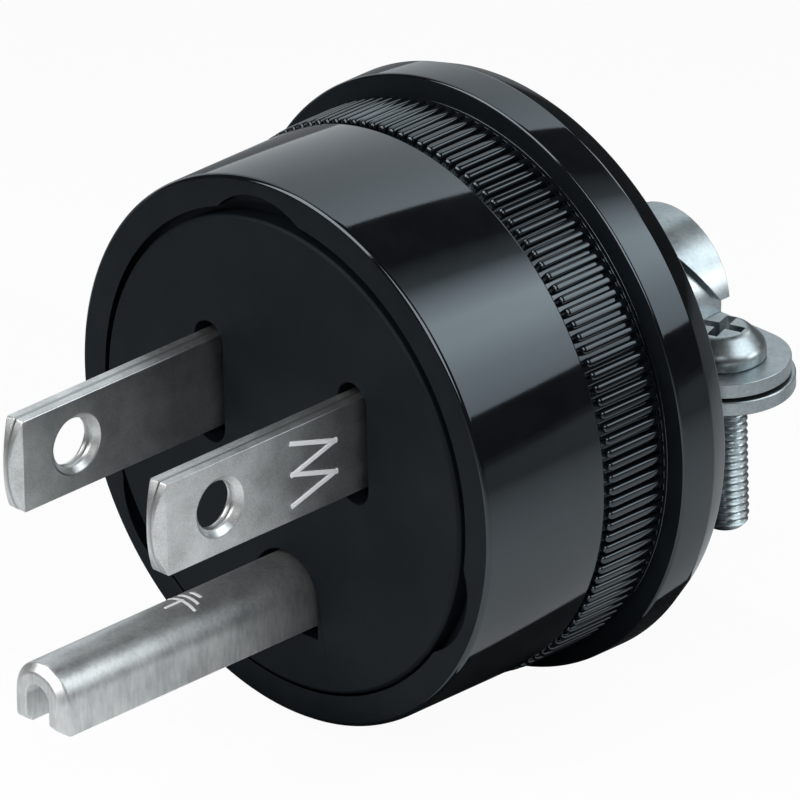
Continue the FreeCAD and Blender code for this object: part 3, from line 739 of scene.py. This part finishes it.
def pan_head(name, radius, height, hole):
    """A turned pan head standing on Y = 0, with a cross recess, in metres."""
    crown = radius * head_crown
    across, tall = head_shoulder
    profile = soften([
        (hole, 0.0, 0.0),
        (radius, 0.0, head_edge),
        (radius, height * head_side, crown),
        (radius * across, height * tall, crown),
        (0.0, height, 0.0),
        (0.0, 0.0, 0.0),
    ])
    work = bmesh.new()
    turn_profile(work, profile, head_steps)
    head = new_piece(name, work, zinc, degrees=40.0)
    slot = (radius * recess_length, radius * recess_width, height, height * recess_depth)
    for index, turn in enumerate((0.0, math.pi / 2)):
        cutter = wedge(f"{name}_cutter_{index}", *slot)
        cutter.data.transform(Matrix.Rotation(turn, 4, "Y"))
        cut = head.modifiers.new("recess", "BOOLEAN")
        cut.object = cutter
        cut.solver = "EXACT"
        graph = bpy.context.evaluated_depsgraph_get()
        head.data = bpy.data.meshes.new_from_object(head.evaluated_get(graph), depsgraph=graph)
        head.modifiers.clear()
        bpy.data.objects.remove(cutter)
    return head


print(f"pan head: {head_steps} steps, cross recess of two wedges")

# %% The whole screw
# The head's height is a share of its radius, and the hole under it one of the shank's.
head_share = 0.74
head_hole = 0.5


def screw(node, axis, radius, head_radius, pitch, turn):
    """A threaded screw in place of its solid, its head along axis and its recess at a turn."""
    low, high = box_mm(node)
    seat = (low + high) / 2
    along = "XYZ".index(axis)
    seat[along] = high[along] - head_radius * head_share
    length = seat[along] - low[along]
    rows = int(length / pitch * thread_rows_per_pitch)
    name = f"{node}_threaded"
    shank = bpy.data.objects.new(name, bpy.data.meshes.new(name))
    bpy.context.collection.objects.link(shank)
    grow(
        shank, thread_tree(thread_around, rows), Radius=radius, Depth=pitch * thread_depth,
        Pitch=pitch, Length=length, Chamfer=pitch * thread_chamfer,
    )
    head = pan_head(f"{node}_head", head_radius, high[along] - seat[along], radius * head_hole)
    work = bmesh.new()
    work.from_mesh(head.data)
    bmesh.ops.scale(work, verts=work.verts, vec=Vector((1, 1, 1)) / MM)
    bmesh.ops.rotate(work, verts=work.verts, matrix=Matrix.Rotation(math.radians(turn), 3, "Y"))
    bpy.data.objects.remove(head)
    work.from_mesh(shank.data)
    bpy.data.objects.remove(shank)
    bmesh.ops.remove_doubles(work, verts=work.verts, dist=touch_mm)
    bmesh.ops.holes_fill(work, edges=[edge for edge in work.edges if edge.is_boundary])
    upright = Matrix.Rotation(math.pi / 2, 4, "X") if axis == "Z" else Matrix.Identity(4)
    place = Matrix.Translation(seat) @ upright
    piece = new_piece(name, work, zinc, degrees=38.0, transform=place)
    settle(piece, "zinc", node)


clamp_sizes = {"axis": "Z", "radius": 1.5, "head_radius": 2.75, "pitch": 0.5}
foot_sizes = {"axis": "Y", "radius": 1.2, "head_radius": 2.4, "pitch": 0.45}
screw("clamp_screw_right", turn=20.0, **clamp_sizes)
screw("clamp_screw_left", turn=65.0, **clamp_sizes)
screw("clamp_foot_screw_right", turn=35.0, **foot_sizes)
screw("clamp_foot_screw_left", turn=10.0, **foot_sizes)

# %% [markdown]
# The terminals inside
#
# The brass terminal screws, wire washers and fixing screws sit in the wiring space, where the disc
# hides them. They could be dressed as the clamp's screws are, but that would hardly be seen, so
# their solids are kept as they are and get the brass finish.

# %% Brass on the terminals
for name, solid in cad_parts.items():
    if name.endswith(("terminal_screw", "wire_washer", "fixing_screw")):
        solid.material_slots[0].material = brass
        print(f"{name}: brass")

# %% [markdown]
# Stamped marks
#
# The neutral blade carries the usual terminal letter and the earth pin the earth sign, both struck
# into the metal with a narrow punch. A font's letter would be too heavy, so each stroke is drawn
# here as a low, bright bar with a rounded back, laid on the flat blade or bent round the pin.

# %% One stroke of a punch
stroke_section = ((1.0, -1.0), (0.8, 0.6), (0.0, 1.0), (-0.8, 0.6), (-1.0, -1.0))


def strokes(name, lines, width, height, place, steps=6):
    """Low bars along the lines of a flat drawing; place maps each point onto the metal."""
    work = bmesh.new()
    for start, end in lines:
        start, end = Vector(start), Vector(end)
        along = (end - start).normalized()
        side = Vector((-along.y, along.x))
        rows = []
        for step in range(steps + 1):
            share = step / steps
            point = start.lerp(end, share) + along * (share - 0.5) * width
            row = []
            for across, rise in stroke_section:
                flat = point + side * (across * width / 2)
                row.append(work.verts.new(place(*flat, rise * height)))
            rows.append(row)
        for row, following in zip(rows, rows[1:]):
            for index in range(len(row)):
                ahead = (index + 1) % len(row)
                work.faces.new((row[index], following[index], following[ahead], row[ahead]))
        work.faces.new(rows[0])
        work.faces.new(rows[-1])
    settle(new_piece(name, work, stamp_painted_glint, degrees=40.0), "nickel")


print(f"stroke: {len(stroke_section)} points across")

# %% The letter on the neutral blade
blade_sheet = 1.4
blade_face = (blade_pitch + blade_sheet) / 2
blade_line = 2.95
letter_middle = -4.0
letter_half = 1.8
letter_wide = 2.1
letter_stroke = 0.36
letter_lift = 0.09
letter = [(-letter_half, letter_wide), (letter_half, letter_wide / 2), (-letter_half, 0.0)]
letter += [(letter_half, -letter_wide / 2), (-letter_half, -letter_wide)]


def on_blade(along, rise, lift):
    """A point of the letter's drawing, on the blade's outer face."""
    return Vector((blade_face + lift, letter_middle + along, blade_line + rise))


strokes("neutral_mark", list(zip(letter, letter[1:])), letter_stroke, letter_lift, on_blade)

# %% The earth sign on the pin
pin_round = 2.35
pin_centre = -9.35
sign_middle = -8.8
sign_stem = 1.3
sign_gap = 0.6
sign_halves = (1.1, 0.75, 0.35)
sign_stroke = 0.26
sign_lift = 0.04
sign = [((-sign_stem, 0.0), (0.0, 0.0))]
for bar, half in enumerate(sign_halves):
    sign.append(((sign_gap * bar, -half), (sign_gap * bar, half)))


def on_pin(along, across, lift):
    """A point of the sign's drawing, bent round the pin's top."""
    angle = across / pin_round
    reach = pin_round + lift
    above = pin_centre + reach * math.cos(angle)
    return Vector((reach * math.sin(angle), sign_middle + along, above))


strokes("earth_mark", sign, sign_stroke, sign_lift, on_pin)

# %% [markdown]
# Studio
#
# Polished black shows only what it mirrors, so the lights are the finish. A wide panel behind the
# plug gives the grey sheen over the cup's top, a second one on the right gives the bright band on
# its side, and the gaps between the panels stay dark. Both are strips along the plug's axis, so
# their mirrored edges run straight along the cup. A key light in front and above and a fill beside
# the camera lift the satin prongs, and two small lamps behind lift the clamp. One of these is
# linked to the clamp's pieces alone, so that the polished flange doesn't mirror it. The floor's
# colour is a painted pool of light, pale round the plug and dark further off, and the camera sees
# the floor nearly white but with a soft shadow. A black flag of painted shade lies on the floor
# under the plug, hidden from the camera and casting no shadow, so the cup's underside mirrors dark.

# %% Floor
ray_kinds = ("Is Camera Ray", "Is Glossy Ray", "Is Transmission Ray")


def backdrop_share(tree, seen, mirrored):
    """How much of the white backdrop a ray sees: from the camera, and once mirrored or bent."""
    path = {name: Wire.add(tree, "ShaderNodeLightPath", output=name) for name in ray_kinds}
    return seen * path[ray_kinds[0]] + mirrored * (path[ray_kinds[1]] + path[ray_kinds[2]])


floor_size = 6.0
floor_gap = 0.05
floor_white = 0.955
floor_mirrored = 0.08
# The floor's colour is a painted pool of light: pale round the plug, fading to dark further off.
painted_pool_centre = (0.015, -0.02)
painted_pool_reach = 0.14
painted_pool_light = (0.88, 0.89, 0.9)
painted_pool_dark = (0.1, 0.105, 0.11)
lowest = min(cad_box[0][2], cad_box[1][2])
work = bmesh.new()
bmesh.ops.create_grid(work, x_segments=1, y_segments=1, size=floor_size / 2 / MM)
floor_material, floor_shader = new_finish("floor_painted_pool", Roughness=0.9)
tree = floor_material.node_tree
place = Wire.add(tree, "ShaderNodeTexCoord", output="Object")
spot = Wire.add(tree, "ShaderNodeSeparateXYZ", inputs={0: place})
aside = spot.out("X") - painted_pool_centre[0]
behind = spot.out("Y") - painted_pool_centre[1]
away = (aside * aside + behind * behind).maths("SQRT") / painted_pool_reach
painted_light_pool = two_tone(tree, away, painted_pool_light, painted_pool_dark, low=0.15, high=1.0)
wire_up(tree, floor_shader, Base_Color=painted_light_pool)
inputs = {"Color": (1.0, 1.0, 1.0, 1.0), "Strength": 1.0}
glow = Wire.add(tree, "ShaderNodeEmission", inputs=inputs)
share = backdrop_share(tree, floor_white, floor_mirrored)
inputs = {0: share, 1: Wire(floor_shader.outputs[0]), 2: glow}
mixed = Wire.add(tree, "ShaderNodeMixShader", inputs=inputs)
tree.links.new(mixed.socket, tree.nodes["Material Output"].inputs["Surface"])
floor_level = Matrix.Translation((0, 0, lowest / MM - floor_gap))
floor = new_piece("floor", work, floor_material, transform=floor_level)
print(f"floor: {floor_size} m wide, {floor_gap} mm below the plug")

# %% Black flag
# Painted shade: a dark sheet on the floor under the plug, unseen by the camera and casting no
# shadow.
flag_left, flag_right = -70.0, 16.0
flag_front, flag_rear = -4.0, 32.0
flag_material, flag_shader = new_finish("flag_painted_shade", Roughness=0.9)
tree = flag_material.node_tree
painted_shade_tone = two_tone(tree, grain(tree, 1.0), (0.01, 0.01, 0.01), (0.02, 0.02, 0.02))
wire_up(tree, flag_shader, Base_Color=painted_shade_tone)
work = bmesh.new()
corners = [(flag_left, flag_front), (flag_right, flag_front)]
corners += [(flag_right, flag_rear), (flag_left, flag_rear)]
work.faces.new([work.verts.new((*corner, 0.0)) for corner in corners])
flag_level = Matrix.Translation((0, 0, lowest / MM - floor_gap / 2))
flag = new_piece("black_flag", work, flag_material, transform=flag_level)
flag.visible_camera = False
flag.visible_shadow = False
print(f"black flag: {flag_right - flag_left} x {flag_rear - flag_front} mm")

# %% Surroundings
surround = 0.03
surround_mirrored = 0.01
world = bpy.data.worlds.new("studio")
bpy.context.scene.world = world
world.use_nodes = True
tree = world.node_tree
backdrop = tree.nodes["Background"]
brightness = surround + backdrop_share(tree, floor_white - surround, surround_mirrored)
tree.links.new(brightness.socket, backdrop.inputs["Strength"])
backdrop.inputs["Color"].default_value = (1.0, 1.0, 1.0, 1.0)
print(f"surroundings: {surround}, seen by the camera as {floor_white}")

# %% Light panels
no_fade = ((0.0, 1.0), (1.0, 1.0))
panel_tint = (0.9, 0.965, 1.0)


def hang(name, centre, right, up, size, radiance, fade=no_fade, tint=even):
    """A soft box at centre, its face across right and up; fade is its brightness across."""
    lamp = bpy.data.lights.new(name, "AREA")
    lamp.shape = "RECTANGLE"
    lamp.size, lamp.size_y = size
    lamp.color = tint
    lamp.energy = radiance * math.pi * lamp.size * lamp.size_y
    lamp.use_nodes = True
    tree = lamp.node_tree
    face = Wire.add(tree, "ShaderNodeNewGeometry", output="Parametric")
    across = Wire.add(tree, "ShaderNodeSeparateXYZ", inputs={0: face})
    stops = [(place, (level, level, level, 1.0)) for place, level in fade]
    strength = Wire.add(tree, "ShaderNodeValToRGB", {"stops": stops}, {"Fac": across})
    tree.links.new(strength.socket, tree.nodes["Emission"].inputs["Strength"])
    lit = bpy.data.objects.new(name, lamp)
    turn = Matrix((right, up, right.cross(up))).transposed().to_4x4()
    lit.matrix_world = Matrix.Translation(centre) @ turn
    lit.visible_camera = False
    bpy.context.collection.objects.link(lit)
    print(f"{name}: {lamp.size:.2f} x {lamp.size_y:.2f} m, {lamp.energy:.1f} W")
    return lit


def strip(name, first, last, radiance, fade, reach=0.5, near=0.02, far=0.58):
    """A soft box along the plug's axis, between two angles round it, from near to far behind."""
    angles = [math.radians(turn) for turn in (first, last)]
    ends = [Vector((math.cos(angle), 0.0, math.sin(angle))) * reach for angle in angles]
    right = (ends[1] - ends[0]).normalized()
    along = Vector((0.0, 1.0, 0.0))
    up = along if right.cross(along).dot(ends[0]) > 0 else -along
    centre = (ends[0] + ends[1]) / 2 + along * (near + far) / 2
    size = ((ends[1] - ends[0]).length, far - near)
    hang(name, centre, right, up, size, radiance, fade, panel_tint)


back_fade = ((0.0, 1.0), (0.15, 0.8), (0.3, 0.6), (0.45, 0.5), (1.0, 0.5))
right_fade = (
    (0.0, 0.0), (0.2, 0.12), (0.33, 0.6), (0.45, 1.0),
    (0.58, 0.95), (0.75, 0.65), (1.0, 0.45),
)
strip("back_panel", first=105.0, last=186.0, radiance=1.65, fade=back_fade)
strip("right_panel", first=82.0, last=17.5, radiance=3.3, fade=right_fade)

# %% Key and fill lamps


def lamp_towards(name, direction, distance, side, radiance):
    """A square soft box that faces the plug from a direction."""
    back = Vector(direction).normalized()
    right = Vector((0.0, 0.0, 1.0)).cross(back).normalized()
    return hang(name, back * distance, right, back.cross(right), (side, side), radiance)


lamp_towards("front_key", (-0.42, -0.6, 0.68), distance=0.7, side=0.5, radiance=4.0)
lamp_towards("camera_fill", (0.36, -0.74, 0.55), distance=0.8, side=0.5, radiance=3.8)
lamp_towards("rear_fill", (0.0, 0.85, 0.53), distance=0.7, side=0.22, radiance=2.6)

# %% The clamp's own lamp
clamp_pieces = (
    "upper_saddle_dressed", "lower_saddle_dressed",
    "clamp_screw_right_threaded", "clamp_screw_left_threaded",
)
clamp_lamp = lamp_towards(
    "clamp_fill", (0.72, 0.64, 0.03), distance=0.6, side=0.3, radiance=4.8,
)
clamp_lit = bpy.data.collections.new("clamp_lit")
for name in clamp_pieces:
    clamp_lit.objects.link(bpy.data.objects[name])
clamp_lamp.light_linking.receiver_collection = clamp_lit

# %% [markdown]
# Camera
#
# Parallel edges stay parallel in the picture, as through a long lens from far away. The camera
# stands two metres off, in front of the neutral blade's side and above it, rolled by about a
# degree.

# %% Place the camera
azimuth = math.radians(46.338)
elevation = math.radians(26.0745)
roll = math.radians(-1.2925)
pixels_per_mm = 16.2491
image_side = 800
blade_centre = Vector((0.0, 0.0, blade_line))
blade_centre_pixel = (281.008, 409.559)
camera_distance = 2.0

back = Vector((
    math.sin(azimuth) * math.cos(elevation),
    -math.cos(azimuth) * math.cos(elevation),
    math.sin(elevation),
))
level = Vector((0, 0, 1)).cross(back).normalized()
rise = back.cross(level)
right = level * math.cos(roll) + rise * math.sin(roll)
up = rise * math.cos(roll) - level * math.sin(roll)
across = (image_side / 2 - blade_centre_pixel[0]) / pixels_per_mm
above = (blade_centre_pixel[1] - image_side / 2) / pixels_per_mm
aim = (blade_centre + right * across + up * above) * MM

lens = bpy.data.cameras.new("long_lens")
lens.sensor_width = 36.0
lens.lens = pixels_per_mm / MM * lens.sensor_width * camera_distance / image_side
lens.clip_end = 100.0
camera = bpy.data.objects.new("camera", lens)
facing = Matrix((right, up, back)).transposed().to_4x4()
camera.matrix_world = Matrix.Translation(aim + back * camera_distance) @ facing
bpy.context.collection.objects.link(camera)
bpy.context.scene.camera = camera
bpy.context.scene.view_settings.view_transform = "Standard"
print(f"lens {lens.lens:.0f} mm at {camera_distance} m")
